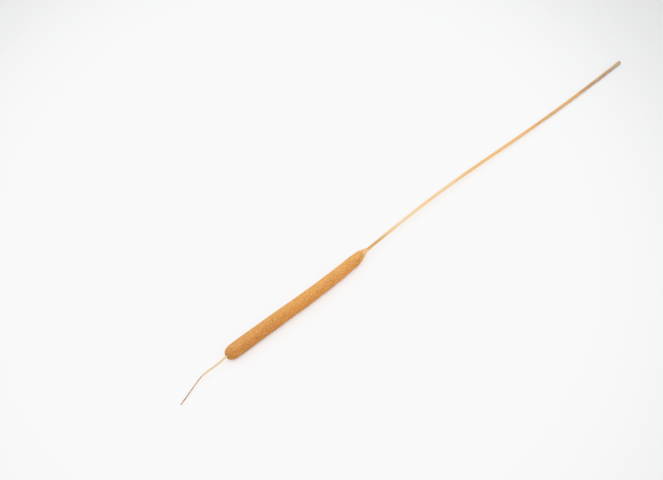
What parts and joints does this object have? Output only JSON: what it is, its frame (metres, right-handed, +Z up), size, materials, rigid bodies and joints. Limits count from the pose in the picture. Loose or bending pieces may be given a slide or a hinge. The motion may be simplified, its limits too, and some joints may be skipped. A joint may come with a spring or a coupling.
{
  "type": "cattail stalk",
  "caption": "Dried cattail stalk lying down: long felted brown seed head on a straight straw-coloured stem, with a thin bent bare tip.",
  "frame": {"origin": "centre of the footprint, on the surface that the stalk lies on", "axes": "+X along the stalk from the tip towards the cut end of the stem, +Y across it, +Z up"},
  "size_m": [0.7134, 0.0178, 0.0148],
  "materials": {
    "seed_down": "matte felted down, golden camel brown with fine orange-brown grain",
    "stem_straw": "dry straw, faintly satin, fine lengthwise grain, greyer towards the cut end",
    "tip_straw": "dry pale straw, dull, grey-brown and withered beyond the kink"
  },
  "bodies": {
    "root": {"seed_spike": "seed_down", "stem": "stem_straw", "tip_axis": "tip_straw"}
  },
  "joints": []
}
